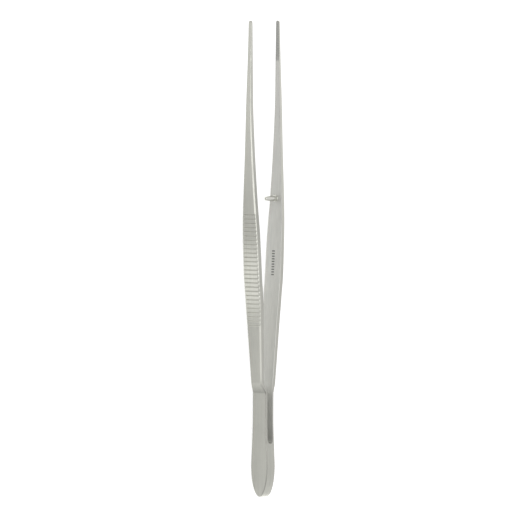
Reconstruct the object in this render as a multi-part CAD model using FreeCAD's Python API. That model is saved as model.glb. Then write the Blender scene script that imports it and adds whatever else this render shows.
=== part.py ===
"""Thumb forceps with a guide pin: two forged steel blades welded at the butt, lying on their narrow edges.

The length runs along X with the tips towards +X, the blades spring apart along Y, and the blade
width stands along Z, so the forceps rest on Z = 0. All sizes are in millimetres. A distance "at"
is measured from the butt end.
"""

import FreeCAD
import Part

import math
import os

# Overall length, from the butt end to the tips.
total_length = 200.0

# Butt and tail: the welded seam, the slot between the two thin tail plates and the shoulder.
seam_length = 22.5
slot_width = 3.0
tail_thickness = 1.0
butt_width = 9.8
butt_widest_at = 13.0
tail_width = 8.0
tail_narrow_at = 34.0
tail_bevel = 0.4
tail_inner_bevel = 0.1
shoulder_at = 43.9
shoulder_ramp = 3.6

# Blade stations between the shoulder and the tip.
waist_at = 51.0
palm_at = 72.0
swell_at = 84.0
grip_at = 92.0
finger_at = 110.0
pin_at = 125.3
neck_at = 145.0
shank_at = 166.0
jaw_length = 16.3

# Blade width at each station.
waist_width = 6.6
palm_width = 8.2
swell_width = 9.15
grip_width = 9.3
finger_width = 8.75
pin_station_width = 7.1
neck_width = 4.7
shank_width = 3.0
jaw_width = 2.3
tip_width = 1.75

# Gap from the mid-plane to a blade's inner face, with the forceps open.
waist_gap = 2.65
palm_gap = 3.72
swell_gap = 4.46
grip_gap = 5.22
finger_gap = 6.2
pin_station_gap = 7.03
neck_gap = 7.42
shank_gap = 7.72
jaw_gap = 7.62
tip_gap = 7.6

# Blade thickness at each station.
waist_thickness = 2.05
palm_thickness = 2.3
swell_thickness = 2.35
grip_thickness = 2.35
finger_thickness = 2.35
pin_station_thickness = 2.15
neck_thickness = 2.1
shank_thickness = 1.9
jaw_thickness = 1.4
tip_thickness = 1.05

# Bevels along a blade's edges: the outer one is a share of the thickness, the inner one is even.
outer_bevel_share = 0.29
inner_bevel = 0.25

# Cross ridges of the thumb grip, cut as V grooves across the outer face.
ridge_from = 72.2
ridge_to = 119.0
ridge_pitch = 1.785
ridge_groove_width = 0.8
ridge_groove_depth = 0.3

# Cross teeth of the jaws, cut as V grooves across the inner face.
tooth_pitch = 1.0
tooth_groove_width = 0.8
tooth_groove_depth = 0.25
tooth_margin = 0.7

# Guide pin, pressed into the pin blade, and the blind socket that takes its tip.
pin_length = 6.4
pin_collar_diameter = 3.0
pin_collar_height = 0.9
pin_shank_diameter = 2.4
pin_tip_diameter = 1.75
pin_tail_diameter = 1.8
pin_tail_floor = 0.5
pin_socket_clearance = 0.5
pin_socket_floor = 0.7

# Clearance left between the tips when the blades are squeezed shut.
closed_tip_clearance = 0.08

# Spacing of the blade sections that carry the skin.
section_step = 4.0

# Length beyond a face by which each cutter overshoots.
overshoot = 2.0

# Distance within which an edge counts as lying on a face.
near_face = 0.001

butt_thickness = slot_width + 2 * tail_thickness
blade_from = shoulder_at + shoulder_ramp
jaw_at = total_length - jaw_length
mid_height = butt_width / 2
slot_round = slot_width / 2


def smooth_through(points):
    """Return a function that passes through the points, with no overshoot between them."""
    xs = [x for x, _ in points]
    ys = [y for _, y in points]
    steps = [b - a for a, b in zip(xs, xs[1:])]
    slopes = [(b - a) / step for a, b, step in zip(ys, ys[1:], steps)]
    tangents = [slopes[0]]
    for left, right in zip(slopes, slopes[1:]):
        level = left * right <= 0
        tangents.append(0.0 if level else 2 * left * right / (left + right))
    tangents.append(slopes[-1])

    def value(x):
        """Return the height of the curve at x."""
        at = max(i for i in range(len(steps)) if i == 0 or xs[i] <= x)
        step = steps[at]
        t = (x - xs[at]) / step
        rise = (2 * t ** 3 - 3 * t ** 2 + 1) * ys[at] + (3 * t ** 2 - 2 * t ** 3) * ys[at + 1]
        turn = (t ** 3 - 2 * t ** 2 + t) * tangents[at] + (t ** 3 - t ** 2) * tangents[at + 1]
        return rise + step * turn

    return value


stations = [waist_at, palm_at, swell_at, grip_at, finger_at, pin_at, neck_at, shank_at]
stations += [jaw_at, total_length]
widths = [waist_width, palm_width, swell_width, grip_width, finger_width, pin_station_width]
widths += [neck_width, shank_width, jaw_width, tip_width]
gaps = [waist_gap, palm_gap, swell_gap, grip_gap, finger_gap, pin_station_gap]
gaps += [neck_gap, shank_gap, jaw_gap, tip_gap]
thicknesses = [waist_thickness, palm_thickness, swell_thickness, grip_thickness]
thicknesses += [finger_thickness, pin_station_thickness, neck_thickness, shank_thickness]
thicknesses += [jaw_thickness, tip_thickness]
blade_width = smooth_through(list(zip(stations, widths)))
blade_gap = smooth_through(list(zip(stations, gaps)))
blade_thickness = smooth_through(list(zip(stations, thicknesses)))
tail_half_width = smooth_through(
    [(butt_widest_at, butt_width / 2), (tail_narrow_at, tail_width / 2), (shoulder_at, tail_width / 2)]
)


def blade_outside(at):
    """Return how far a blade's outer face stands from the mid-plane."""
    return blade_gap(at) + blade_thickness(at)


def bevelled_section(at, inside, outside, width, outer_bevel, inner_bevel_here):
    """Return the closed eight-sided outline of a blade across X = at."""
    half = width / 2
    corners = [
        (inside, half - inner_bevel_here),
        (inside + inner_bevel_here, half),
        (outside - outer_bevel, half),
        (outside, half - outer_bevel),
    ]
    corners += [(y, -z) for y, z in reversed(corners)]
    points = [FreeCAD.Vector(at, y, mid_height + z) for y, z in corners]
    return Part.makePolygon(points + points[:1])


def blade_section(at):
    """Return the outline of the forged blade across X = at."""
    thickness = blade_thickness(at)
    bevel = outer_bevel_share * thickness
    return bevelled_section(at, blade_gap(at), blade_outside(at), blade_width(at), bevel, inner_bevel)


def tail_section():
    """Return the outline of the thin tail plate where the shoulder starts."""
    inside = slot_width / 2
    outside = inside + tail_thickness
    return bevelled_section(shoulder_at, inside, outside, tail_width, tail_bevel, tail_inner_bevel)


def forged_blade():
    """Return the blade from the shoulder to the tip, before its ridges and teeth are cut."""
    count = max(2, round((total_length - blade_from) / section_step))
    step = (total_length - blade_from) / count
    sections = [blade_section(blade_from + i * step) for i in range(count + 1)]
    return Part.makeLoft(sections, True, False)


def shoulder():
    """Return the ramp between the tail plate and the thicker blade."""
    return Part.makeLoft([tail_section(), blade_section(blade_from)], True, True)


def butt_outline():
    """Return the face outline of the butt and tail plate, in the mid-plane."""
    centre = FreeCAD.Vector(butt_widest_at, 0, mid_height)
    length_first = butt_widest_at >= butt_width / 2
    major = max(butt_widest_at, butt_width / 2)
    minor = min(butt_widest_at, butt_width / 2)
    ellipse = Part.Ellipse(centre, major, minor)
    ellipse.Axis = FreeCAD.Vector(0, 1, 0)
    ellipse.XAxis = FreeCAD.Vector(1, 0, 0) if length_first else FreeCAD.Vector(0, 0, 1)
    top = FreeCAD.Vector(butt_widest_at, 0, mid_height + butt_width / 2)
    low = FreeCAD.Vector(butt_widest_at, 0, mid_height - butt_width / 2)
    turns = sorted([ellipse.parameter(top), ellipse.parameter(low)])
    arcs = [Part.Arc(ellipse, turns[0], turns[1]), Part.Arc(ellipse, turns[1], turns[0] + 2 * math.pi)]
    back = min(arcs, key=lambda arc: arc.toShape().CenterOfMass.x)
    edges = [back.toShape()]
    for side in (1, -1):
        stops = (butt_widest_at, (butt_widest_at + tail_narrow_at) / 2, tail_narrow_at, shoulder_at)
        points = [FreeCAD.Vector(at, 0, mid_height + side * tail_half_width(at)) for at in stops]
        edge = Part.BSplineCurve()
        edge.interpolate(points, InitialTangent=FreeCAD.Vector(1, 0, 0), FinalTangent=FreeCAD.Vector(1, 0, 0))
        edges.append(edge.toShape())
    ends = [FreeCAD.Vector(shoulder_at, 0, mid_height + side * tail_width / 2) for side in (1, -1)]
    edges.append(Part.LineSegment(*ends).toShape())
    return Part.Wire(Part.__sortEdges__(edges))


def butt_and_tail():
    """Return one half of the butt with its tail plate, slotted and bevelled."""
    half = butt_thickness / 2
    slab = Part.Face(butt_outline()).extrude(FreeCAD.Vector(0, half, 0))
    rim = [
        edge for edge in slab.Edges
        if edge.BoundBox.YMin > half - near_face and edge.BoundBox.XMin < shoulder_at - near_face
    ]
    slab = slab.makeChamfer(tail_bevel, rim)
    slot_from = seam_length + slot_round
    height = butt_width + 2 * overshoot
    slot = Part.makeBox(
        shoulder_at - slot_from + overshoot, slot_round + overshoot, height,
        FreeCAD.Vector(slot_from, -overshoot, -overshoot),
    )
    round_end = Part.makeCylinder(slot_round, height, FreeCAD.Vector(slot_from, 0, -overshoot))
    return slab.cut(slot).cut(round_end)


def v_groove(at, face, lean, groove_width, groove_depth, outwards):
    """Return a V cutter across a blade face at X = at, leaning with the face."""
    root = FreeCAD.Vector(at, face, -overshoot)
    reach = 1 + overshoot / groove_depth
    wide = groove_width / 2 * reach
    out = outwards * (groove_depth * reach - groove_depth)
    corners = [(-wide, out), (wide, out), (0, -outwards * groove_depth)]
    points = [root + FreeCAD.Vector(x, y, 0) for x, y in corners]
    prism = Part.Face(Part.makePolygon(points + points[:1])).extrude(
        FreeCAD.Vector(0, 0, butt_width + 2 * overshoot)
    )
    prism.rotate(root, FreeCAD.Vector(0, 0, 1), math.degrees(lean))
    return prism


def face_lean(face, at):
    """Return the angle of a face line along the blade at X = at."""
    near = 0.5
    return math.atan2(face(at + near) - face(at - near), 2 * near)


def grip_grooves():
    """Return the cutters of the thumb grip, evenly spaced over its length."""
    count = int((ridge_to - ridge_from) / ridge_pitch) + 1
    places = [ridge_from + i * ridge_pitch for i in range(count)]
    return [
        v_groove(at, blade_outside(at), face_lean(blade_outside, at), ridge_groove_width,
                 ridge_groove_depth, 1)
        for at in places
    ]


def jaw_grooves():
    """Return the cutters between the jaw's cross teeth."""
    count = int((jaw_length - 2 * tooth_margin) / tooth_pitch) + 1
    places = [total_length - tooth_margin - i * tooth_pitch for i in range(count)]
    return [
        v_groove(at, blade_gap(at), face_lean(blade_gap, at - tooth_margin), tooth_groove_width,
                 tooth_groove_depth, -1)
        for at in places
    ]


def tip_rounding():
    """Return the cutter that rounds a tip as seen from its outer face."""
    radius = tip_width / 2
    centre = FreeCAD.Vector(total_length - radius, 0, mid_height)
    depth = tip_gap + tip_thickness + 2 * overshoot
    block = Part.makeBox(
        radius + overshoot, depth, 2 * radius + 2 * overshoot,
        FreeCAD.Vector(centre.x, -overshoot, mid_height - radius - overshoot),
    )
    nose = Part.makeCylinder(
        radius, depth, FreeCAD.Vector(centre.x, -overshoot, mid_height), FreeCAD.Vector(0, 1, 0)
    )
    return block.cut(nose)


def arm():
    """Return one arm on the +Y side, from the butt to the tip, with no pin hole."""
    body = butt_and_tail().fuse([shoulder(), forged_blade()])
    return body.cut(grip_grooves() + jaw_grooves() + [tip_rounding()]).removeSplitter()


def closing_angle():
    """Return the angle that brings the plain arm's tip to the pin arm's tip."""
    reach = total_length - seam_length
    return 2 * math.atan2(tip_gap, reach) - closed_tip_clearance / reach


def pin_bore_depth():
    """Return how deep the pin's tail sits in its blade."""
    return blade_thickness(pin_at) - pin_tail_floor


def guide_pin():
    """Return the guide pin: its tail, conical collar, tapered shank and domed tip, turned as one."""
    face = -blade_gap(pin_at)
    tip_radius = pin_tip_diameter / 2
    profile = [
        (0, -pin_bore_depth()),
        (pin_tail_diameter / 2, -pin_bore_depth()),
        (pin_tail_diameter / 2, 0),
        (pin_collar_diameter / 2, 0),
        (pin_shank_diameter / 2, pin_collar_height),
        (tip_radius, pin_length - tip_radius),
    ]
    points = [FreeCAD.Vector(pin_at + r, face + along, mid_height) for r, along in profile]
    edges = [Part.LineSegment(a, b).toShape() for a, b in zip(points, points[1:])]
    dome_middle = tip_radius * math.cos(math.pi / 4)
    middle = FreeCAD.Vector(
        pin_at + dome_middle, face + pin_length - tip_radius + dome_middle, mid_height
    )
    end = FreeCAD.Vector(pin_at, face + pin_length, mid_height)
    edges.append(Part.Arc(points[-1], middle, end).toShape())
    edges.append(Part.LineSegment(end, points[0]).toShape())
    turned = Part.Face(Part.Wire(edges))
    return turned.revolve(points[0], FreeCAD.Vector(0, 1, 0), 360)


def pin_arm():
    """Return the arm on the -Y side, bored for the tail of the guide pin."""
    body = arm().mirror(FreeCAD.Vector(0, 0, 0), FreeCAD.Vector(0, 1, 0))
    face = -blade_gap(pin_at)
    seat = Part.makeCylinder(
        pin_collar_diameter / 2, overshoot, FreeCAD.Vector(pin_at, face, mid_height),
        FreeCAD.Vector(0, 1, 0),
    )
    bore = Part.makeCylinder(
        pin_tail_diameter / 2, pin_bore_depth() + overshoot,
        FreeCAD.Vector(pin_at, face - pin_bore_depth(), mid_height), FreeCAD.Vector(0, 1, 0),
    )
    return body.cut([seat, bore])


def plain_arm():
    """Return the arm on the +Y side, with the blind socket where the pin enters when squeezed."""
    pivot = FreeCAD.Vector(seam_length, 0, mid_height)
    radius = pin_shank_diameter / 2 + pin_socket_clearance
    depth = blade_thickness(pin_at) - pin_socket_floor
    back = FreeCAD.Vector(pin_at, -pin_station_gap, mid_height)
    socket = Part.makeCylinder(radius, 2 * pin_station_gap + depth, back, FreeCAD.Vector(0, 1, 0))
    socket.rotate(pivot, FreeCAD.Vector(0, 0, 1), math.degrees(closing_angle()))
    floor = blade_outside(pin_at) - pin_socket_floor
    keep = Part.makeBox(total_length, floor, butt_width)
    return arm().cut(socket.common(keep))


def main():
    """Write one STEP file for each piece."""
    os.makedirs("parts", exist_ok=True)
    shift = FreeCAD.Vector(-total_length / 2, 0, 0)
    pieces = {"plain_arm": plain_arm(), "pin_arm": pin_arm(), "guide_pin": guide_pin()}
    for name, shape in pieces.items():
        shape.translate(shift)
        solid = shape.Solids[0]
        print(name, len(shape.Solids), round(solid.Volume, 2), solid.isValid(), shape.BoundBox)
        solid.exportStep("parts/" + name + ".step")


main()
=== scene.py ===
"""Dresses a pair of steel thumb forceps with a guide pin, lying on their narrow edges on a pale floor.

The frame gives the pieces' places: X runs from the butt to the tips, Y across the spread of the
blades and Z up across the blade width. Lengths are in metres. A place "at" is measured along X
from the butt end.
"""

import logging
import math
from dataclasses import dataclass
from enum import Enum
from typing import Callable, Sequence

import bmesh
import bpy
from mathutils import Matrix, Vector


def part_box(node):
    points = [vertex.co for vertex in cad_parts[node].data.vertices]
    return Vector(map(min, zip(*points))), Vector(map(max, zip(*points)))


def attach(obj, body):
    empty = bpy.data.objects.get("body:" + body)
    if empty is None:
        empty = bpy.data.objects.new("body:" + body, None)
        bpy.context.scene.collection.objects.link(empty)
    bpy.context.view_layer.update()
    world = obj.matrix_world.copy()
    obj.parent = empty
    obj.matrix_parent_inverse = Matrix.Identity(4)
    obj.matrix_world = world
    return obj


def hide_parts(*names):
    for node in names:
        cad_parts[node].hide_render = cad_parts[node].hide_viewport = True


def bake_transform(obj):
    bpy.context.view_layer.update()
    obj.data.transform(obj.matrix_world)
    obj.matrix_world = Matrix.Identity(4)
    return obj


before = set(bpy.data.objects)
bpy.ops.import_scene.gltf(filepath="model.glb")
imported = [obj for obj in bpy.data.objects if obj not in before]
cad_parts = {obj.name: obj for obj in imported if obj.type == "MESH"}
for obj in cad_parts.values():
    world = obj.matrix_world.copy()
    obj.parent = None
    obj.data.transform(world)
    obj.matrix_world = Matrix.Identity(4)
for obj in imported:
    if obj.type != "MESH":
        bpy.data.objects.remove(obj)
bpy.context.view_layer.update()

MM = 0.001
LOG = logging.getLogger("forceps")

# Points of a mesh that lie closer together than this are merged.
MERGE_WITHIN = 0.001 * MM
# The range of a noise value that is spread over a roughness range.
NOISE_LOW = 0.35
NOISE_HIGH = 0.65
# Degrees round the butt end, the slot's end and the tip at which outlines lie.
BUTT_ANGLES = (5, 8, 12, 17, 24, 32, 41, 51, 62, 75, 90)
SLOT_ANGLES = tuple(range(0, 91, 10))
TIP_ANGLES = (0, 22, 40, 55, 68, 80)

Colour = tuple[float, float, float]
Socket = bpy.types.NodeSocket
Value = float | Socket


class Side(Enum):
    """Which side of the mid-plane an arm lies on."""

    PLAIN = 1
    PIN = -1


class Slot(Enum):
    """The record's material slots."""

    SATIN = "satin_steel"
    TURNED = "turned_steel"


@dataclass(frozen=True)
class Station:
    """One place along a blade, with the blade's sizes there."""

    at: float
    width: float
    gap: float
    thickness: float


@dataclass(frozen=True)
class Ring:
    """The outline of an arm across its length: four level pairs of points on each half.

    Each pair is (height over the mid-plane, half width), from the inner face to the outer face.
    """

    at: float
    pairs: tuple[tuple[float, float], ...]


def smooth_through(points: Sequence[tuple[float, float]]) -> Callable[[float], float]:
    """Make a curve that passes through the points with no overshoot between them.

    Args:
        points: Places and heights, in order of place.

    Returns:
        A function from a place to the curve's height.
    """
    xs = [x for x, _ in points]
    ys = [y for _, y in points]
    steps = [b - a for a, b in zip(xs, xs[1:])]
    slopes = [(b - a) / step for a, b, step in zip(ys, ys[1:], steps)]
    tangents = [slopes[0]]
    for left, right in zip(slopes, slopes[1:]):
        tangents.append(0.0 if left * right <= 0 else 2 * left * right / (left + right))
    tangents.append(slopes[-1])

    def value(x: float) -> float:
        """Return the curve's height at x."""
        spot = max(i for i in range(len(steps)) if i == 0 or xs[i] <= x)
        step = steps[spot]
        t = (x - xs[spot]) / step
        rise = (2 * t**3 - 3 * t**2 + 1) * ys[spot] + (3 * t**2 - 2 * t**3) * ys[spot + 1]
        turn = (t**3 - 2 * t**2 + t) * tangents[spot] + (t**3 - t**2) * tangents[spot + 1]
        return rise + step * turn

    return value


@dataclass
class ArmForm:
    """The sizes of one arm, from the butt to the tip.

    The least and most shares hold small forms in bounds where the outline narrows at either end.
    """

    length: float
    butt_width: float
    butt_widest_at: float = 13.0 * MM
    seam_length: float = 22.5 * MM
    slot_width: float = 3.0 * MM
    tail_thickness: float = 1.0 * MM
    tail_width: float = 8.0 * MM
    tail_narrow_at: float = 34.0 * MM
    tail_bevel: float = 0.4 * MM
    seam_bevel: float = 0.05 * MM
    shoulder_at: float = 43.9 * MM
    shoulder_ramp: float = 3.6 * MM
    jaw_length: float = 16.3 * MM
    outer_bevel_share: float = 0.29
    inner_bevel: float = 0.25 * MM
    edge_round: float = 0.09 * MM
    ridge_from: float = 72.2 * MM
    ridge_to: float = 119.0 * MM
    ridge_pitch: float = 1.785 * MM
    ridge_groove_width: float = 0.8 * MM
    ridge_groove_depth: float = 0.3 * MM
    tooth_pitch: float = 1.0 * MM
    tooth_groove_width: float = 0.8 * MM
    tooth_groove_depth: float = 0.25 * MM
    tooth_margin: float = 0.7 * MM
    lip: float = 0.06 * MM
    least_edge: float = 0.03 * MM
    least_edge_share: float = 0.25
    least_face_share: float = 1 / 3
    most_round_share: float = 0.3
    most_outer_bevel_share: float = 0.7
    most_inner_bevel_share: float = 0.4
    plain_step: float = 2.0 * MM
    tail_step: float = 1.0 * MM
    ring_spacing: float = 0.012 * MM

    def __post_init__(self) -> None:
        """Lay the smooth curves of the blade and the tail through their stations."""
        jaw_at = self.length - self.jaw_length
        # Place, width, gap to the mid-plane and thickness.
        stations = [
            Station(51.0 * MM, 6.6 * MM, 2.65 * MM, 2.05 * MM),
            Station(72.0 * MM, 8.2 * MM, 3.72 * MM, 2.3 * MM),
            Station(84.0 * MM, 9.15 * MM, 4.46 * MM, 2.35 * MM),
            Station(92.0 * MM, 9.3 * MM, 5.22 * MM, 2.35 * MM),
            Station(110.0 * MM, 8.75 * MM, 6.2 * MM, 2.35 * MM),
            Station(125.3 * MM, 7.1 * MM, 7.03 * MM, 2.15 * MM),
            Station(145.0 * MM, 4.7 * MM, 7.42 * MM, 2.1 * MM),
            Station(166.0 * MM, 3.0 * MM, 7.72 * MM, 1.9 * MM),
            Station(jaw_at, 2.3 * MM, 7.62 * MM, 1.4 * MM),
            Station(self.length, 1.75 * MM, 7.6 * MM, 1.05 * MM),
        ]
        self.blade_from = self.shoulder_at + self.shoulder_ramp
        self.tip_width = stations[-1].width
        self.blade_width = smooth_through([(s.at, s.width) for s in stations])
        self.blade_gap = smooth_through([(s.at, s.gap) for s in stations])
        self.blade_thickness = smooth_through([(s.at, s.thickness) for s in stations])
        half_tail = self.tail_width / 2
        self.tail_half = smooth_through(
            [(self.butt_widest_at, self.butt_width / 2), (self.tail_narrow_at, half_tail),
             (self.shoulder_at, half_tail)]
        )

    def outside(self, at: float) -> float:
        """Return how far the blade's outer face stands from the mid-plane."""
        return self.blade_gap(at) + self.blade_thickness(at)

    def ridge_places(self) -> list[float]:
        """Return the places of the grooves across the part of the blade that the thumb holds."""
        count = int((self.ridge_to - self.ridge_from) / self.ridge_pitch) + 1
        return [self.ridge_from + i * self.ridge_pitch for i in range(count)]

    def tooth_places(self) -> list[float]:
        """Return the places of the grooves between the teeth of the jaws."""
        count = int((self.jaw_length - 2 * self.tooth_margin) / self.tooth_pitch) + 1
        return [self.length - self.tooth_margin - i * self.tooth_pitch for i in range(count)]

    @staticmethod
    def groove(at: float, places: Sequence[float], width: float, depth: float) -> float:
        """Return how deep the nearest V groove is at a place.

        Args:
            at: The place along the arm.
            places: The grooves' places.
            width: The grooves' width.
            depth: The grooves' depth.

        Returns:
            The depth there, or nothing between grooves.
        """
        off = min(abs(at - place) for place in places)
        return depth * max(0.0, 1 - off / (width / 2))

    def rounded(self, corners: Sequence[tuple[float, float]]) -> tuple[tuple[float, float], ...]:
        """Cut each corner of a half outline by a small amount along both of its sides.

        Args:
            corners: Height and half width of the four corners, from the inner face outwards.

        Returns:
            Two points for each corner.
        """
        line = [(corners[0][0], 0.0), *corners, (corners[-1][0], 0.0)]
        points = []
        for before, corner, after in zip(line, line[1:], line[2:]):
            for other in (before, after):
                run = math.dist(corner, other)
                share = min(self.edge_round / run, self.most_round_share) if run > 0 else 0.0
                points.append(tuple(c + (o - c) * share for c, o in zip(corner, other)))
        return tuple(points)

    def butt_ring(self, at: float) -> Ring:
        """Return the outline across the welded butt, the slot's end or the tail plate."""
        outside = self.slot_width / 2 + self.tail_thickness
        bevel = self.tail_bevel
        slot_round = self.slot_width / 2
        slot_centre = self.seam_length + slot_round
        if at < self.butt_widest_at:
            short = self.butt_widest_at - at
            edge_off = short / self.butt_widest_at
            half = self.butt_width / 2 * math.sqrt(max(0.0, 1 - edge_off**2))
            face_off = min(1.0, short / (self.butt_widest_at - bevel))
            face_half = (self.butt_width / 2 - bevel) * math.sqrt(1 - face_off**2)
        else:
            half = self.tail_half(at)
            face_half = half - bevel
        off = min(slot_round, max(0.0, slot_centre - at))
        inside = 0.0 if at <= self.seam_length else math.sqrt(slot_round**2 - off**2)
        top = min(outside, outside - bevel + max(at, self.least_edge))
        least_face = half * self.least_face_share
        corners = [
            (inside, half - self.seam_bevel),
            (inside + self.seam_bevel, half),
            (outside - bevel, half),
            (top, max(face_half, least_face)) if at < bevel else (outside, face_half),
        ]
        return Ring(at, self.rounded(corners))

    def blade_ring(self, at: float) -> Ring:
        """Return the outline across the forged blade, with its ridges and teeth."""
        thickness = self.blade_thickness(at)
        nose = self.tip_width / 2
        half = self.blade_width(at) / 2
        past = at - (self.length - nose)
        if past > 0:
            half = math.sqrt(max(0.0, nose**2 - past**2))
        outer_bevel = min(self.outer_bevel_share * thickness, half * self.most_outer_bevel_share)
        inner_bevel = min(self.inner_bevel, half * self.most_inner_bevel_share)
        ridge = self.groove(at, self.ridge_places(), self.ridge_groove_width, self.ridge_groove_depth)
        tooth = self.groove(at, self.tooth_places(), self.tooth_groove_width, self.tooth_groove_depth)
        least = min(self.least_edge, half * self.least_edge_share)
        inside = self.blade_gap(at) + tooth
        outside = self.outside(at) - ridge
        corners = [
            (inside, min(half - inner_bevel + tooth, half - least)),
            (max(self.blade_gap(at) + inner_bevel, inside + least), half),
            (self.outside(at) - outer_bevel, half),
            (outside, half - outer_bevel + ridge),
        ]
        return Ring(at, self.rounded(corners))

    def ring_places(self) -> list[float]:
        """Return where the arm's outlines lie: closer together where its form turns faster."""
        places = [self.butt_widest_at * (1 - math.cos(math.radians(a))) for a in BUTT_ANGLES]
        slot_round = self.slot_width / 2
        slot_centre = self.seam_length + slot_round
        places += [slot_centre - slot_round * math.cos(math.radians(a)) for a in SLOT_ANGLES]
        places += self.stepped(self.butt_widest_at, self.seam_length, self.plain_step)
        places += self.stepped(slot_centre, self.shoulder_at, self.tail_step)
        places += self.stepped(self.blade_from, self.ridge_from - self.plain_step, self.plain_step)
        places += self.stepped(
            self.ridge_to + self.plain_step, self.length - self.jaw_length, self.plain_step
        )
        groups = (
            (self.ridge_places(), self.ridge_groove_width / 2),
            (self.tooth_places(), self.tooth_groove_width / 2),
        )
        for group, half in groups:
            for place in group:
                places.append(place)
                for side in (-1, 1):
                    places += [place + side * (half - self.lip), place + side * (half + self.lip / 2)]
        nose = self.tip_width / 2
        centre = self.length - nose
        places += [centre + nose * math.sin(math.radians(a)) for a in TIP_ANGLES]
        kept: list[float] = []
        for place in sorted(places):
            if not kept or place - kept[-1] > self.ring_spacing:
                kept.append(place)
        return kept

    @staticmethod
    def stepped(start: float, end: float, step: float) -> list[float]:
        """Return evenly spaced places from start to end, about a step apart."""
        count = max(1, round((end - start) / step))
        return [start + (end - start) * i / count for i in range(count + 1)]

    def rings(self) -> list[Ring]:
        """Return every outline of the arm, from the butt end to the tip."""
        places = self.ring_places()
        tail = [self.butt_ring(at) for at in places if at <= self.shoulder_at + self.least_edge]
        blade = [self.blade_ring(at) for at in places if at >= self.blade_from - self.least_edge]
        return tail + blade


def deselect_all() -> None:
    """Leave edit mode and deselect every object."""
    if bpy.context.object and bpy.context.object.mode != "OBJECT":
        bpy.ops.object.mode_set(mode="OBJECT")
    bpy.ops.object.select_all(action="DESELECT")


def select_only(piece: bpy.types.Object) -> None:
    """Make one object the selected and active one."""
    deselect_all()
    piece.select_set(True)
    bpy.context.view_layer.objects.active = piece


def apply_modifier(piece: bpy.types.Object, kind: str, **settings: object) -> None:
    """Add a modifier with the given settings and apply it.

    Args:
        piece: The object it finishes.
        kind: The modifier's type.
        **settings: Its settings by name.
    """
    select_only(piece)
    modifier = piece.modifiers.new(kind.title(), kind)
    for name, value in settings.items():
        setattr(modifier, name, value)
    bpy.ops.object.modifier_apply(modifier=modifier.name)


def finish_mesh(piece: bpy.types.Object, sharp_angle: float = 32.0) -> None:
    """Merge doubles, point the faces outwards and smooth all but the sharp edges.

    Args:
        piece: The object to finish.
        sharp_angle: Edges that turn by more than this, in degrees, stay sharp.
    """
    select_only(piece)
    bpy.ops.object.mode_set(mode="EDIT")
    bpy.ops.mesh.select_all(action="SELECT")
    bpy.ops.mesh.remove_doubles(threshold=MERGE_WITHIN)
    bpy.ops.mesh.normals_make_consistent(inside=False)
    bpy.ops.object.mode_set(mode="OBJECT")
    bpy.ops.object.shade_smooth_by_angle(angle=math.radians(sharp_angle))
    apply_modifier(piece, "WEIGHTED_NORMAL", keep_sharp=True)


def dress(piece: bpy.types.Object, material: bpy.types.Material) -> None:
    """Give a piece one material in place of any that it has."""
    piece.data.materials.clear()
    piece.data.materials.append(material)


class RingDrawer:
    """Draws a closed bar ring by ring: a first outline, then one extrusion for each further one."""

    def __init__(self, name: str, origin: Vector, levels: int) -> None:
        """Start with a flat ring of points across X.

        Args:
            name: The new object's name.
            origin: The place that rings are measured from.
            levels: How many mirrored pairs of points a ring has.
        """
        deselect_all()
        self.origin = origin
        bpy.ops.mesh.primitive_circle_add(
            vertices=2 * levels, radius=MM, fill_type="NGON", location=origin,
            rotation=(0, math.pi / 2, 0),
        )
        self.piece = bpy.context.object
        self.piece.name = self.piece.data.name = name
        bpy.ops.object.transform_apply(location=True, rotation=True, scale=True)
        bpy.ops.object.mode_set(mode="EDIT")
        bpy.ops.mesh.select_mode(type="VERT")
        bpy.ops.mesh.select_all(action="SELECT")
        bpy.ops.transform.rotate(
            value=math.pi / (2 * levels), orient_axis="X", center_override=origin
        )
        self.mesh = bmesh.from_edit_mesh(self.piece.data)
        across = sorted(self.mesh.verts, key=lambda v: v.co.y)
        self.pairs = [sorted(across[2 * i:2 * i + 2], key=lambda v: v.co.z) for i in range(levels)]

    def place_pairs(self, heights: Sequence[tuple[float, float]]) -> None:
        """Move each pair of the newest ring to its height and half width."""
        for pair, (height, half) in zip(self.pairs, heights):
            for vertex in pair:
                vertex.select_set(True)
            now = pair[1].co
            bpy.ops.transform.resize(
                value=(1, 1, half / (now.z - self.origin.z)), center_override=self.origin
            )
            bpy.ops.transform.translate(value=(0, self.origin.y + height - now.y, 0))
            for vertex in pair:
                vertex.select_set(False)

    def start(self, ring: Ring) -> None:
        """Shape the first ring."""
        bpy.ops.transform.translate(value=(ring.at, 0, 0))
        bpy.ops.mesh.select_all(action="DESELECT")
        self.place_pairs(ring.pairs)

    def extend(self, ring: Ring) -> None:
        """Extrude the end face to the next ring and shape it."""
        vertex = self.pairs[0][0]
        end_face = max(vertex.link_faces, key=lambda face: len(face.verts))
        end_face.select_set(True)
        step = self.origin.x + ring.at - vertex.co.x
        bpy.ops.mesh.extrude_region_move(TRANSFORM_OT_translate={"value": (step, 0, 0)})
        self.pairs = [[self.moved_on(vertex) for vertex in pair] for pair in self.pairs]
        bpy.ops.mesh.select_all(action="DESELECT")
        self.place_pairs(ring.pairs)

    @staticmethod
    def moved_on(vertex: bmesh.types.BMVert) -> bmesh.types.BMVert:
        """Return the selected point that was extruded from a point of the ring before."""
        ends = [edge.other_vert(vertex) for edge in vertex.link_edges]
        return next(end for end in ends if end.select)

    def done(self) -> bpy.types.Object:
        """Leave edit mode and return the finished bar."""
        bpy.ops.object.mode_set(mode="OBJECT")
        return self.piece


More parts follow.
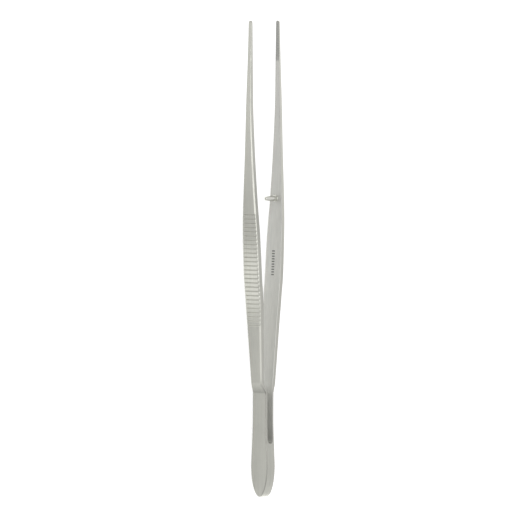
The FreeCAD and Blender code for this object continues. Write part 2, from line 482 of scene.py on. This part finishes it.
class NodeChain:
    """A few short calls for building a material's node tree."""

    def __init__(self, name: str) -> None:
        """Start an empty material tree with its output and surface shader."""
        self.material = bpy.data.materials.new(name)
        self.material.use_nodes = True
        self.tree = self.material.node_tree
        self.tree.nodes.clear()
        self.output = self.tree.nodes.new("ShaderNodeOutputMaterial")
        self.shader = self.tree.nodes.new("ShaderNodeBsdfPrincipled")
        self.link(self.shader.outputs[0], self.output.inputs["Surface"])

    def link(self, source: Socket, target: Socket) -> None:
        """Join an output socket to an input socket."""
        self.tree.links.new(source, target)

    def feed(self, socket: Socket, value: Value) -> None:
        """Set an input socket from a constant, or join another node's output to it."""
        if isinstance(value, Socket):
            self.link(value, socket)
        else:
            socket.default_value = value

    def mapped(self, scale: tuple[float, float, float]) -> Socket:
        """Return object coordinates stretched by a scale along each axis."""
        coordinate = self.tree.nodes.new("ShaderNodeTexCoord")
        mapping = self.tree.nodes.new("ShaderNodeMapping")
        mapping.inputs["Scale"].default_value = scale
        self.link(coordinate.outputs["Object"], mapping.inputs["Vector"])
        return mapping.outputs["Vector"]

    def parts(self, kind: str) -> list[Socket]:
        """Return the X, Y and Z values of a texture coordinate such as Object or Normal."""
        coordinate = self.tree.nodes.new("ShaderNodeTexCoord")
        split = self.tree.nodes.new("ShaderNodeSeparateXYZ")
        self.link(coordinate.outputs[kind], split.inputs[0])
        return list(split.outputs)

    def noise(self, vector: Socket, scale: float, detail: float, roughness: float = 0.5) -> Socket:
        """Return a noise value over mapped coordinates."""
        noise = self.tree.nodes.new("ShaderNodeTexNoise")
        noise.inputs["Scale"].default_value = scale
        noise.inputs["Detail"].default_value = detail
        noise.inputs["Roughness"].default_value = roughness
        self.link(vector, noise.inputs["Vector"])
        return noise.outputs["Fac"]

    def spread(
        self, value: Socket, low: float, high: float, out_low: float, out_high: float
    ) -> Socket:
        """Return a value remapped from one range to another, held at its ends."""
        node = self.tree.nodes.new("ShaderNodeMapRange")
        self.link(value, node.inputs["Value"])
        for name, number in zip(("From Min", "From Max", "To Min", "To Max"),
                                (low, high, out_low, out_high)):
            node.inputs[name].default_value = number
        return node.outputs["Result"]

    def mask(self, value: Socket, none_at: float, full_at: float) -> Socket:
        """Return a share that goes from zero at one value to one at another, held beyond both."""
        return self.spread(value, none_at, full_at, 0.0, 1.0)

    def math(self, kind: str, first: Value, second: Value = 0.0) -> Socket:
        """Return one arithmetic step on two values."""
        node = self.tree.nodes.new("ShaderNodeMath")
        node.operation = kind
        self.feed(node.inputs[0], first)
        self.feed(node.inputs[1], second)
        return node.outputs[0]

    def tinted(self, tone: Socket, blue: Socket) -> Socket:
        """Return a grey of a tone, with its blue held to a share of the red and green."""
        node = self.tree.nodes.new("ShaderNodeCombineColor")
        for socket, value in zip(node.inputs, (tone, tone, self.math("MULTIPLY", tone, blue))):
            self.feed(socket, value)
        return node.outputs[0]

    def between(self, factor: Socket, first: Value, second: Value) -> Socket:
        """Return the value that lies a factor of the way from the first to the second."""
        node = self.tree.nodes.new("ShaderNodeMix")
        node.data_type = "FLOAT"
        sockets = (node.inputs[0], node.inputs[2], node.inputs[3])
        for socket, value in zip(sockets, (factor, first, second)):
            self.feed(socket, value)
        return node.outputs[0]

    def bump(self, height: Socket, distance: float, normal: Socket | None = None) -> Socket:
        """Return a surface direction tilted by a height value, on top of another one if given."""
        node = self.tree.nodes.new("ShaderNodeBump")
        node.inputs["Strength"].default_value = 1.0
        node.inputs["Distance"].default_value = distance
        self.link(height, node.inputs["Height"])
        if normal is not None:
            self.link(normal, node.inputs["Normal"])
        return node.outputs["Normal"]


@dataclass(frozen=True)
class EtchedScale:
    """A plain row of short etched bars that stands where an instrument carries its marking.

    The bars run from start to end along X and lie within half_height of the middle along Z, on
    the side of the plane least_y that faces the blades' gap.
    """

    start: float
    end: float
    pitch: float
    half_height: float
    middle: float
    least_y: float
    bar_share: float = 0.5
    darkness: float = 0.72


@dataclass(frozen=True)
class FaceTone:
    """How light one kind of face is near the butt, beside the pin and towards the tips: the steel's
    colour with the painted light and shade that the lamp and reflections give that face.
    """

    near: float
    middle: float
    far: float


@dataclass(frozen=True)
class SteelFinish:
    """Satin stainless steel, ground along the blade and duller on the inner faces, with painted shade in
    the teeth of the jaws.

    Places are along the arm, from its butt end. A face counts as bevel, edge or inner face by how
    squarely it looks out across the blades: each kind's tone begins at its from value and is whole at
    its full value. These tones are painted light and shade, as the lamp and reflections fall on each
    kind of face. Noise scales are per metre.
    """

    name: str
    side: Side
    butt_end: float
    reflection_from: float
    reflection_to: float
    shoulder: float
    jaw_from: float
    # Painted light and shade: the outer face's tone is near the steel's own colour, and the bevels,
    # edges and inner faces are painted lighter or darker by how the lamp and reflections fall on them,
    # changing along the arm.
    outer: FaceTone = FaceTone(0.385, 0.38, 0.445)
    bevel: FaceTone = FaceTone(0.50, 0.42, 0.35)
    edge: FaceTone = FaceTone(0.55, 0.47, 0.66)
    inner: FaceTone = FaceTone(0.68, 0.575, 0.525)
    change_from: float = 95.0 * MM
    change_at: float = 125.0 * MM
    change_to: float = 160.0 * MM
    # Painted reflection: a lighter tone on the outer face in the middle of the ridged stretch.
    grip_reflection: float = 0.57
    # Painted shade: the tail's bevels are darker. Painted light on the inner faces beside the slot, a
    # little less than further on.
    tail_bevel: float = 0.26
    tail_inner: float = 0.62
    # Painted highlights at the round butt end, on the bevels and the edges.
    end_bevel: float = 0.43
    end_bevel_to: float = 13.0 * MM
    end_edge: float = 0.67
    end_edge_to: float = 8.0 * MM
    # Painted shade: the inner faces in the teeth of the jaws are darker.
    jaw_shade: float = 0.34
    reflection_fade: float = 12.0 * MM
    slot_fade: float = 8.0 * MM
    shoulder_fade: float = 4.0 * MM
    jaw_fade: float = 1.0 * MM
    bevel_from: float = 0.97
    bevel_full: float = 0.9
    edge_from: float = 0.55
    edge_full: float = 0.3
    inner_from: float = -0.5
    inner_full: float = -0.8
    blue_share: float = 0.915
    inner_blue_share: float = 0.95
    roughness_low: float = 0.30
    roughness_high: float = 0.38
    inner_roughness: float = 0.46
    inner_metal: float = 0.55
    grain_along: float = 60.0
    grain_across: float = 2600.0
    grain_detail: float = 3.0
    grain_depth: float = 0.004 * MM
    pebble_scale: float = 1400.0
    pebble_detail: float = 2.0
    pebble_depth: float = 0.006 * MM
    cloud_scale: float = 90.0
    cloud_detail: float = 4.0
    cloud_roughness: float = 0.6
    grain_share: float = 0.55
    cloud_share: float = 0.45
    mixed_low: float = 0.36
    mixed_high: float = 0.64
    contrast: float = 0.07

    def face_tone(self, chain: NodeChain, along: Socket, face: FaceTone) -> Socket:
        """Return one kind of face's tone along the arm, with its painted light and shade.

        Args:
            chain: The material's nodes.
            along: The place, from the butt end.
            face: The face's tones.

        Returns:
            The tone's output socket.
        """
        first = chain.spread(along, self.change_from, self.change_at, face.near, face.middle)
        past = chain.mask(along, self.change_at, self.change_to)
        return chain.between(past, first, face.far)

    def tone(self, chain: NodeChain, inner: Socket, sideways: Socket) -> Socket:
        """Return how light the steel is, face by face, with painted light and shade.

        Args:
            chain: The material's nodes.
            inner: One on the inner faces, nothing on the others.
            sideways: How squarely a face looks out across the blades.

        Returns:
            The tone's output socket.
        """
        along = chain.math("SUBTRACT", chain.parts("Object")[0], self.butt_end)
        faces = (self.outer, self.bevel, self.edge, self.inner)
        outer, bevel, edge, inner_tone = (self.face_tone(chain, along, face) for face in faces)
        # Painted reflection: the outer face is lighter in the middle of the ridged stretch.
        rise = chain.mask(along, self.reflection_from - self.reflection_fade, self.reflection_from)
        fall = chain.mask(along, self.reflection_to + self.reflection_fade, self.reflection_to)
        outer = chain.between(chain.math("MULTIPLY", rise, fall), outer, self.grip_reflection)
        # Painted highlight on the edges at the butt end; along the tail the bevels go from a painted
        # highlight at the end to painted shade.
        edge = chain.between(chain.mask(along, self.end_edge_to, 0.0), edge, self.end_edge)
        tail_bevel = chain.spread(along, 0.0, self.end_bevel_to, self.end_bevel, self.tail_bevel)
        blade = chain.mask(along, self.shoulder, self.shoulder + self.shoulder_fade)
        bevel = chain.between(blade, tail_bevel, bevel)
        # The inner faces' painted light is a little less beside the slot.
        slot = chain.mask(along, self.shoulder, self.shoulder - self.slot_fade)
        inner_tone = chain.between(slot, inner_tone, self.tail_inner)
        # Painted shade on the inner faces between the teeth of the jaws; there the bevels lose their own
        # tone and take the outer face's.
        jaw_shade = chain.mask(along, self.jaw_from - self.jaw_fade, self.jaw_from)
        inner_tone = chain.between(jaw_shade, inner_tone, self.jaw_shade)
        bevel = chain.between(jaw_shade, bevel, outer)
        # Bevels and edges take their painted light and shade by how squarely they look out across the
        # blades.
        outer = chain.between(chain.mask(sideways, self.bevel_from, self.bevel_full), outer, bevel)
        outer = chain.between(chain.mask(sideways, self.edge_from, self.edge_full), outer, edge)
        # The inner faces take their own tone, painted lighter than the outer face.
        return chain.between(inner, outer, inner_tone)

    def build(self, etched: EtchedScale | None = None) -> bpy.types.Material:
        """Make the material.

        Args:
            etched: The row of etched bars, on the piece that has one.

        Returns:
            The finished material.
        """
        chain = NodeChain(self.name)
        stretched = chain.mapped((self.grain_along, self.grain_across, self.grain_across))
        grain = chain.noise(stretched, 1.0, self.grain_detail)
        plain_space = chain.mapped((1.0, 1.0, 1.0))
        pebble = chain.noise(plain_space, self.pebble_scale, self.pebble_detail)
        cloud = chain.noise(plain_space, self.cloud_scale, self.cloud_detail, self.cloud_roughness)
        across = chain.parts("Normal")[1]
        outwards = chain.math("MULTIPLY", across, self.side.value)
        inner = chain.mask(outwards, self.inner_from, self.inner_full)
        grain_part = chain.math("MULTIPLY", grain, self.grain_share)
        cloud_part = chain.math("MULTIPLY", cloud, self.cloud_share)
        mixed = chain.math("ADD", grain_part, cloud_part)
        low, high = 1 - self.contrast, 1 + self.contrast
        texture = chain.spread(mixed, self.mixed_low, self.mixed_high, low, high)
        tone = self.tone(chain, inner, chain.math("ABSOLUTE", across))
        tone = chain.math("MULTIPLY", tone, texture)
        if etched:
            mask = self.etched_mask(chain, etched)
            tone = chain.math("MULTIPLY", tone, chain.spread(mask, 0.0, 1.0, 1.0, 1 - etched.darkness))
        blue = chain.spread(inner, 0.0, 1.0, self.blue_share, self.inner_blue_share)
        roughness = chain.spread(cloud, NOISE_LOW, NOISE_HIGH, self.roughness_low, self.roughness_high)
        rougher = chain.math("MULTIPLY", inner, self.inner_roughness - self.roughness_low)
        chain.feed(chain.shader.inputs["Base Color"], chain.tinted(tone, blue))
        chain.feed(chain.shader.inputs["Roughness"], chain.math("ADD", roughness, rougher))
        chain.feed(chain.shader.inputs["Metallic"], chain.spread(inner, 0.0, 1.0, 1.0, self.inner_metal))
        lines = chain.bump(grain, self.grain_depth)
        chain.feed(chain.shader.inputs["Normal"], chain.bump(pebble, self.pebble_depth, lines))
        return chain.material

    @staticmethod
    def etched_mask(chain: NodeChain, etched: EtchedScale) -> Socket:
        """Return a value of one on the etched bars and nothing elsewhere.

        Args:
            chain: The material's nodes.
            etched: The row of bars.

        Returns:
            The mask's output socket.
        """
        x, y, z = chain.parts("Object")
        steps = chain.math("DIVIDE", chain.math("SUBTRACT", x, etched.start), etched.pitch)
        off_middle = chain.math("ABSOLUTE", chain.math("SUBTRACT", z, etched.middle))
        parts = [
            chain.math("LESS_THAN", chain.math("FRACT", steps), etched.bar_share),
            chain.math("GREATER_THAN", x, etched.start),
            chain.math("LESS_THAN", x, etched.end),
            chain.math("LESS_THAN", off_middle, etched.half_height),
            chain.math("GREATER_THAN", y, etched.least_y),
        ]
        mask = parts[0]
        for part in parts[1:]:
            mask = chain.math("MULTIPLY", mask, part)
        return mask


@dataclass(frozen=True)
class TurnedFinish:
    """Bright steel, turned on a lathe and lightly polished."""

    name: str = "turned_steel_bright"
    colour: Colour = (0.77, 0.77, 0.72)
    roughness_low: float = 0.16
    roughness_high: float = 0.22
    ring_scale: float = 1800.0
    ring_detail: float = 3.0
    ring_depth: float = 0.002 * MM

    def build(self) -> bpy.types.Material:
        """Make the material."""
        chain = NodeChain(self.name)
        rings = chain.noise(chain.mapped((1.0, self.ring_scale, 1.0)), 1.0, self.ring_detail)
        chain.shader.inputs["Base Color"].default_value = (*self.colour, 1.0)
        chain.shader.inputs["Metallic"].default_value = 1.0
        roughness = chain.spread(rings, NOISE_LOW, NOISE_HIGH, self.roughness_low, self.roughness_high)
        chain.feed(chain.shader.inputs["Roughness"], roughness)
        chain.feed(chain.shader.inputs["Normal"], chain.bump(rings, self.ring_depth))
        return chain.material


@dataclass
class Arms:
    """The two forged arms: modelled once, then mirrored, with a socket in one for the pin.

    The origin is the butt end, on the mid-plane.
    """

    origin: Vector
    form: ArmForm
    pin_at: float = 125.3 * MM
    socket_radius: float = 1.7 * MM
    socket_floor: float = 0.7 * MM
    socket_points: int = 48
    closed_tip_clearance: float = 0.08 * MM
    mark_from: float = 93.0 * MM
    mark_to: float = 104.0 * MM
    mark_pitch: float = 1.1 * MM
    mark_half_height: float = 0.8 * MM
    mark_margin: float = 0.2 * MM
    # Where a painted reflection lightens the outer face, measured from the butt end.
    painted_reflection_from: float = 85.0 * MM
    painted_reflection_to: float = 97.0 * MM
    # Painted light: the pin arm's edges are painted lighter, where the lamp and reflections fall on
    # them.
    lit_edge: FaceTone = FaceTone(0.56, 0.67, 0.75)

    def draw(self, name: str) -> bpy.types.Object:
        """Draw one arm on the +Y side from its rings."""
        rings = self.form.rings()
        drawer = RingDrawer(name, self.origin, len(rings[0].pairs))
        drawer.start(rings[0])
        for ring in rings[1:]:
            drawer.extend(ring)
        return drawer.done()

    def mirrored(self, arm: bpy.types.Object, name: str) -> bpy.types.Object:
        """Return a copy of an arm, with its own mesh, mirrored across the mid-plane."""
        select_only(arm)
        bpy.ops.object.duplicate(linked=False)
        copy = bpy.context.object
        copy.name = copy.data.name = name
        bpy.ops.object.mode_set(mode="EDIT")
        bpy.ops.mesh.select_all(action="SELECT")
        bpy.ops.transform.mirror(constraint_axis=(False, True, False), center_override=self.origin)
        bpy.ops.object.mode_set(mode="OBJECT")
        return copy

    def bore_socket(self, arm: bpy.types.Object) -> None:
        """Cut the blind socket that the guide pin enters when the arms are squeezed shut."""
        form = self.form
        reach = form.length - form.seam_length
        closing = 2 * math.atan2(form.blade_gap(form.length), reach) - self.closed_tip_clearance / reach
        pivot = self.origin + Vector((form.seam_length, 0, 0))
        turn = Matrix.Rotation(closing, 4, "Z")
        axis = turn @ Vector((0, 1, 0))
        foot = pivot + turn @ Vector((self.pin_at - form.seam_length, -form.blade_gap(self.pin_at), 0))
        floor = self.origin.y + form.outside(self.pin_at) - self.socket_floor
        end = foot + axis * ((floor - foot.y) / axis.y)
        deselect_all()
        bpy.ops.mesh.primitive_cylinder_add(
            vertices=self.socket_points, radius=self.socket_radius, depth=(end - foot).length,
            location=(end + foot) / 2, rotation=axis.to_track_quat("Z", "Y").to_euler(),
        )
        cutter = bpy.context.object
        apply_modifier(arm, "BOOLEAN", operation="DIFFERENCE", object=cutter, solver="EXACT")
        bpy.data.objects.remove(cutter)

    def etched_scale(self) -> EtchedScale:
        """Return the row of etched bars on the pin arm's inner face."""
        inner_face = self.origin.y - self.form.blade_gap(self.mark_to)
        return EtchedScale(
            start=self.origin.x + self.mark_from, end=self.origin.x + self.mark_to,
            pitch=self.mark_pitch, half_height=self.mark_half_height,
            middle=self.origin.z, least_y=inner_face - self.mark_margin,
        )

    def build(self) -> None:
        """Model, dress and place both arms."""
        form = self.form
        plain = self.draw("plain_arm_ground")
        pin = self.mirrored(plain, "pin_arm_ground")
        self.bore_socket(plain)
        for arm in (plain, pin):
            finish_mesh(arm)
        zones = {
            "butt_end": self.origin.x, "reflection_from": self.painted_reflection_from, "reflection_to": self.painted_reflection_to,
            "shoulder": form.shoulder_at, "jaw_from": form.length - form.jaw_length,
        }
        ground_finish = SteelFinish("satin_steel_ground", Side.PLAIN, **zones)
        etched_finish = SteelFinish("satin_steel_etched", Side.PIN, edge=self.lit_edge, **zones)
        dress(plain, ground_finish.build())
        dress(pin, etched_finish.build(self.etched_scale()))
        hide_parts("plain_arm")
        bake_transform(plain)
        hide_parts("pin_arm")
        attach(pin, "pin_side")
        for arm in (plain, pin):
            LOG.info("%s has %d faces", arm.name, len(arm.data.polygons))


@dataclass
class GuidePin:
    """The turned guide pin on the pin arm's inner face.

    The dome ends in a small flat face, dome_cut of a step short of its top.
    """

    foot: Vector
    length: float = 6.4 * MM
    collar_radius: float = 1.5 * MM
    collar_height: float = 0.9 * MM
    shank_radius: float = 1.2 * MM
    tip_radius: float = 0.875 * MM
    sunk: float = 0.3 * MM
    edge: float = 0.08 * MM
    round_points: int = 40
    dome_steps: int = 5
    dome_cut: float = 0.3

    def profile(self) -> list[tuple[float, float]]:
        """Return the pin's radius along its axis, from inside the arm to the tip."""
        dome_from = self.length - self.tip_radius
        points = [
            (-self.sunk, self.collar_radius - self.edge),
            (0.0, self.collar_radius - self.edge),
            (self.edge, self.collar_radius),
            (2 * self.edge, self.collar_radius),
            (3 * self.edge, self.collar_radius - self.edge),
            (self.collar_height - self.edge, self.shank_radius + 2 * self.edge),
            (self.collar_height, self.shank_radius),
            (self.collar_height + 2 * self.edge, self.shank_radius),
            ((self.collar_height + dome_from) / 2, (self.shank_radius + self.tip_radius) / 2),
            (dome_from, self.tip_radius),
        ]
        for i in range(1, self.dome_steps + 1):
            angle = math.pi / 2 * i / (self.dome_steps + self.dome_cut)
            along = dome_from + self.tip_radius * math.sin(angle)
            points.append((along, self.tip_radius * math.cos(angle)))
        return points

    def build(self) -> None:
        """Draw the pin as one turned bar, dress it and place it on the pin side."""
        deselect_all()
        points = self.profile()
        bpy.ops.mesh.primitive_circle_add(
            vertices=self.round_points, radius=points[0][1], fill_type="NGON",
            location=self.foot + Vector((0, points[0][0], 0)), rotation=(-math.pi / 2, 0, 0),
        )
        pin = bpy.context.object
        pin.name = pin.data.name = "guide_pin_turned"
        bpy.ops.object.transform_apply(location=True, rotation=True, scale=True)
        bpy.ops.object.mode_set(mode="EDIT")
        bpy.ops.mesh.select_mode(type="FACE")
        bpy.ops.mesh.select_all(action="SELECT")
        for (before, narrow), (along, radius) in zip(points, points[1:]):
            bpy.ops.mesh.extrude_region_move(TRANSFORM_OT_translate={"value": (0, along - before, 0)})
            bpy.ops.transform.resize(
                value=(radius / narrow, 1, radius / narrow),
                center_override=self.foot + Vector((0, along, 0)),
            )
        bpy.ops.object.mode_set(mode="OBJECT")
        finish_mesh(pin)
        dress(pin, TurnedFinish().build())
        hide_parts("guide_pin")
        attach(pin, "pin_side")
        LOG.info("%s has %d faces", pin.name, len(pin.data.polygons))


@dataclass
class Studio:
    """A pale floor, a soft lamp and an even surround."""

    centre: Vector
    floor_size: float = 6.0
    floor_tone: Colour = (0.86, 0.86, 0.86)
    floor_glow: float = 0.52
    surround: float = 1.0
    key_power: float = 22.0
    key_size: float = 1.5
    key_distance: float = 4.2
    key_lean: float = 0.03

    def floor(self) -> None:
        """Lay the floor: pale, with a glow that lifts it to white and keeps the shadow."""
        deselect_all()
        bpy.ops.mesh.primitive_plane_add(size=self.floor_size, location=(0, 0, 0))
        floor = bpy.context.object
        floor.name = floor.data.name = "studio_floor"
        chain = NodeChain("studio_floor_white")
        tree = chain.tree
        tree.nodes.remove(chain.shader)
        plain = tree.nodes.new("ShaderNodeBsdfDiffuse")
        plain.inputs["Color"].default_value = (*self.floor_tone, 1.0)
        glow = tree.nodes.new("ShaderNodeEmission")
        path = tree.nodes.new("ShaderNodeLightPath")
        seen = chain.math("MAXIMUM", path.outputs["Is Camera Ray"], path.outputs["Is Glossy Ray"])
        chain.feed(glow.inputs["Strength"], chain.math("MULTIPLY", seen, self.floor_glow))
        both = tree.nodes.new("ShaderNodeAddShader")
        chain.link(plain.outputs[0], both.inputs[0])
        chain.link(glow.outputs[0], both.inputs[1])
        chain.link(both.outputs[0], chain.output.inputs["Surface"])
        floor.data.materials.append(chain.material)

    def surroundings(self) -> None:
        """Light the scene evenly from all round."""
        world = bpy.data.worlds.new("studio_surround")
        world.use_nodes = True
        tree = world.node_tree
        tree.nodes.clear()
        output = tree.nodes.new("ShaderNodeOutputWorld")
        background = tree.nodes.new("ShaderNodeBackground")
        background.inputs["Strength"].default_value = self.surround
        tree.links.new(background.outputs[0], output.inputs["Surface"])
        bpy.context.scene.world = world

    def lamp(self, name: str, direction: Vector, distance: float, size: float, power: float) -> None:
        """Hang a square soft lamp that faces the object.

        Args:
            name: The lamp's name.
            direction: From the object to the lamp.
            distance: How far away it hangs.
            size: The side of its square.
            power: Its power in watts.
        """
        data = bpy.data.lights.new(name, "AREA")
        data.shape = "SQUARE"
        data.size = size
        data.energy = power
        lamp = bpy.data.objects.new(name, data)
        bpy.context.scene.collection.objects.link(lamp)
        aim = direction.normalized()
        lamp.location = self.centre + aim * distance
        lamp.rotation_euler = aim.to_track_quat("Z", "Y").to_euler()

    def build(self, towards_camera: Vector) -> None:
        """Set up the floor, the surround and the key lamp."""
        self.floor()
        self.surroundings()
        key_direction = towards_camera + Vector((self.key_lean, 0, 0))
        self.lamp("key_lamp", key_direction, self.key_distance, self.key_size, self.key_power)
        LOG.info("studio is lit")


@dataclass
class CameraRig:
    """A long lens at the photograph's viewing angle, over the object's plain side."""

    centre: Vector
    length: float
    image_side: float = 525.0
    tip_row: float = 20.5
    butt_row: float = 496.7
    middle_column: float = 263.6
    turn: float = math.radians(45)
    tilt: float = math.radians(2)
    roll: float = math.radians(0.17)
    lens: float = 600.0
    near_clip: float = 0.01

    def towards_camera(self) -> Vector:
        """Return the direction from the object to the camera."""
        return Vector((
            math.sin(self.tilt),
            math.cos(self.tilt) * math.sin(self.turn),
            math.cos(self.tilt) * math.cos(self.turn),
        ))

    def build(self) -> None:
        """Place the camera so that the object fills the frame as it does in the photograph."""
        data = bpy.data.cameras.new("studio_camera")
        data.lens = self.lens
        data.clip_start = self.near_clip
        camera = bpy.data.objects.new("studio_camera", data)
        bpy.context.scene.collection.objects.link(camera)
        back = self.towards_camera()
        right = Vector((1, 0, 0)).cross(back).normalized()
        up = back.cross(right)
        rows = self.butt_row - self.tip_row
        pixel = self.length * math.cos(self.tilt) / rows
        distance = data.lens / data.sensor_width * self.image_side * pixel
        near_end_growth = rows / 2 * self.length / 2 * math.sin(self.tilt) / distance
        lift = self.image_side / 2 - (self.tip_row + self.butt_row) / 2 - near_end_growth
        shift = self.middle_column - self.image_side / 2
        target = self.centre - right * (shift * pixel) - up * (lift * pixel)
        turned = Matrix((right, up, back)).transposed() @ Matrix.Rotation(self.roll, 3, "Z")
        camera.matrix_world = Matrix.Translation(target + back * distance) @ turned.to_4x4()
        bpy.context.scene.camera = camera
        LOG.info("camera stands %.3f m away", distance)


def main() -> None:
    """Build and dress the forceps, the studio and the camera."""
    logging.basicConfig(level=logging.INFO, format="%(message)s")
    bpy.context.scene.view_settings.view_transform = "Standard"
    low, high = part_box("plain_arm")
    middle = (low.z + high.z) / 2
    butt_end = Vector((low.x, 0, middle))
    form = ArmForm(length=high.x - low.x, butt_width=high.z - low.z)
    Arms(butt_end, form).build()
    pin_low, pin_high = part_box("guide_pin")
    pin_x = (pin_low.x + pin_high.x) / 2
    face = -form.blade_gap(pin_x - low.x)
    GuidePin(foot=Vector((pin_x, face, middle)), length=pin_high.y - face).build()
    centre = Vector(((low.x + high.x) / 2, 0, middle))
    rig = CameraRig(centre=centre, length=high.x - low.x)
    Studio(centre=centre).build(rig.towards_camera())
    rig.build()


if __name__ == "__main__":
    main()
